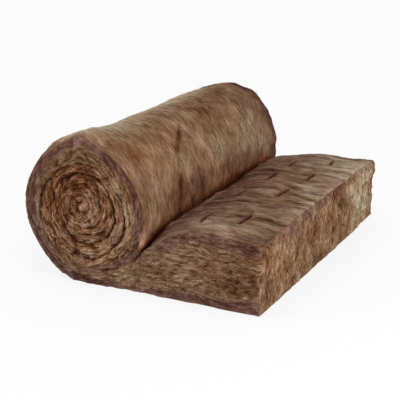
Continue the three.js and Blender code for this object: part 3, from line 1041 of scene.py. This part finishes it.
def add_fibres(name, *batches):
    """One piece made of several batches of fibres."""
    points, faces, values = zip(*(lay_fibres(*batch) for batch in batches))
    starts = np.cumsum([0] + [len(batch) for batch in points[:-1]])
    faces = np.concatenate([batch + start for batch, start in zip(faces, starts)])
    joined = {key: np.concatenate([batch[key] for batch in values]) for key in VALUES}
    points = np.concatenate(points)
    points[:, 2] = np.maximum(points[:, 2], 0.0005)
    add_piece(name, points, faces, (), joined)


# ---- the part
wound, flat = wound_end(), flat_end()
finish(wound)
finish(flat)
join(wound, flat)
for name, mat in (("wool_roll", wound), ("wool_flat_end", flat)):
    values = {key: getattr(mat, key) for key in VALUES}
    piece = add_piece(name, mat.points, mat.skin, mat.wall, values)

# Each batch: its field, how many fibres, their least and most length and thickness, how far they turn
# from the mat's direction, all together and one by one, how high they arch for their length, and a seed.
around = fields(wound, wound.wrap.T)
add_fibres(
    "fibres_roll",
    (around, 3200, (0.03, 0.075), (0.0016, 0.003), -10, 17, 0, 101),
    (around, 7300, (0.02, 0.058), (0.0009, 0.002), -10, 25, 0, 111),
    (around, 500, (0.02, 0.05), (0.0008, 0.0014), -10, 35, 0.22, 121),
)
ends = []
for grid, counts, seed in ((wound.front, (2050, 3550, 700), 102), (wound.back, (1600, 2550, 550), 103)):
    layers, core = fields(wound, grid[:-CORE_STEPS]), fields(wound, grid[-CORE_STEPS:])
    ends += [
        (layers, counts[0], (0.016, 0.042), (0.0024, 0.0052), 0, 17, 0, seed),
        (layers, counts[1], (0.018, 0.05), (0.0011, 0.0026), 0, 22, 0.03, seed + 10),
        (core, counts[2], (0.012, 0.03), (0.0012, 0.0036), 0, 60, 0.05, seed + 20),
    ]
add_fibres("fibres_roll_ends", *ends)
top, free = fields(flat, flat.top), fields(flat, flat.free.T)
add_fibres(
    "fibres_flat_end",
    (top, 1300, (0.04, 0.11), (0.0016, 0.0032), 0, 9, 0, 104),
    (top, 2200, (0.025, 0.07), (0.0009, 0.002), 0, 15, 0, 114),
    (joined_side("front"), 3000, (0.014, 0.04), (0.0016, 0.0042), 0, 19, 0, 105),
    (joined_side("back"), 1500, (0.014, 0.04), (0.0016, 0.0042), 0, 19, 0, 106),
    (free, 3000, (0.011, 0.034), (0.0016, 0.0042), 0, 30, 0, 107),
)


# ---- floor, light and camera
AMBIENT = 0.88
FLOOR_HALF = 12
FLOOR_LIFT = 0.8  # how far the floor goes towards white where the camera sees it
LIGHT_AIM = (0, 0, 0.2)
CAMERA_AZIMUTH = math.radians(25.6)
CAMERA_ELEVATION = math.radians(17.4)
CAMERA_DISTANCE = 4.65
CAMERA_AIM = (ROLL_X + 0.1643, 0, 0.1648)
LENS, SENSOR = 106.2, 36  # in millimetres


def seen_directly(make):
    """1 where the camera, a reflection or glass sees a thing, and 0 where it only gives light."""
    path = make.add("LightPath").outputs
    seen = make.math("MAXIMUM", path["Is Camera Ray"], path["Is Glossy Ray"])
    return make.math("MAXIMUM", seen, path["Is Transmission Ray"])


def light_background():
    """White where it is seen, and a soft grey light for the rest."""
    world = bpy.data.worlds.new("studio")
    bpy.context.scene.world = world
    world.use_nodes = True
    make = Nodes(world.node_tree)
    soft = make.add("Background", {"Color": (1, 1, 1, 1), "Strength": AMBIENT}).outputs[0]
    white = make.add("Background", {"Color": (1, 1, 1, 1)}).outputs[0]
    mixed = make.add("MixShader", {0: seen_directly(make), 1: soft, 2: white}).outputs[0]
    make.set(make.tree.nodes["World Output"].inputs["Surface"], mixed)


def floor_material():
    """Pale, and lifted towards white where it is seen, so that only a soft shadow shows."""
    material, shader, make = new_material("pale floor", roughness=1, specular=0)
    shader.inputs["Base Color"].default_value = (0.9, 0.9, 0.9, 1)
    white = make.add("Emission", {"Color": (1, 1, 1, 1)}).outputs[0]
    share = make.math("MULTIPLY", seen_directly(make), FLOOR_LIFT)
    mixed = make.add("MixShader", {0: share, 1: shader.outputs[0], 2: white}).outputs[0]
    make.set(make.tree.nodes["Material Output"].inputs["Surface"], mixed)
    return material


def add_floor():
    corners = FLOOR_HALF * np.array([(-1, -1, 0), (1, -1, 0), (1, 1, 0), (-1, 1, 0)], float)
    floor = add_mesh("floor", corners, np.array([[0, 1, 2, 3]]))
    floor.data.materials.append(floor_material())


def add_light(name, place, size, power):
    data = bpy.data.lights.new(name, "AREA")
    data.shape = "DISK"
    data.size = size
    data.energy = power
    lamp = add_object(name, data)
    lamp.location = place
    lamp.rotation_euler = (Vector(LIGHT_AIM) - Vector(place)).to_track_quat("-Z", "Y").to_euler()


def add_camera():
    level = math.cos(CAMERA_ELEVATION)
    away_x, away_y = math.sin(CAMERA_AZIMUTH) * level, -math.cos(CAMERA_AZIMUTH) * level
    away = Vector((away_x, away_y, math.sin(CAMERA_ELEVATION)))
    camera = add_object("camera", bpy.data.cameras.new("camera"))
    camera.data.sensor_width = SENSOR
    camera.data.lens = LENS
    camera.location = Vector(CAMERA_AIM) + CAMERA_DISTANCE * away
    camera.rotation_euler = (-away).to_track_quat("-Z", "Y").to_euler()
    bpy.context.scene.camera = camera


light_background()
add_floor()
add_light("key", (3.9, -1.9, 1.3), size=2.2, power=70)
add_light("fill", (-2.8, -2.6, 1.8), size=2.4, power=32)
add_camera()
bpy.context.scene.view_settings.view_transform = "Standard"
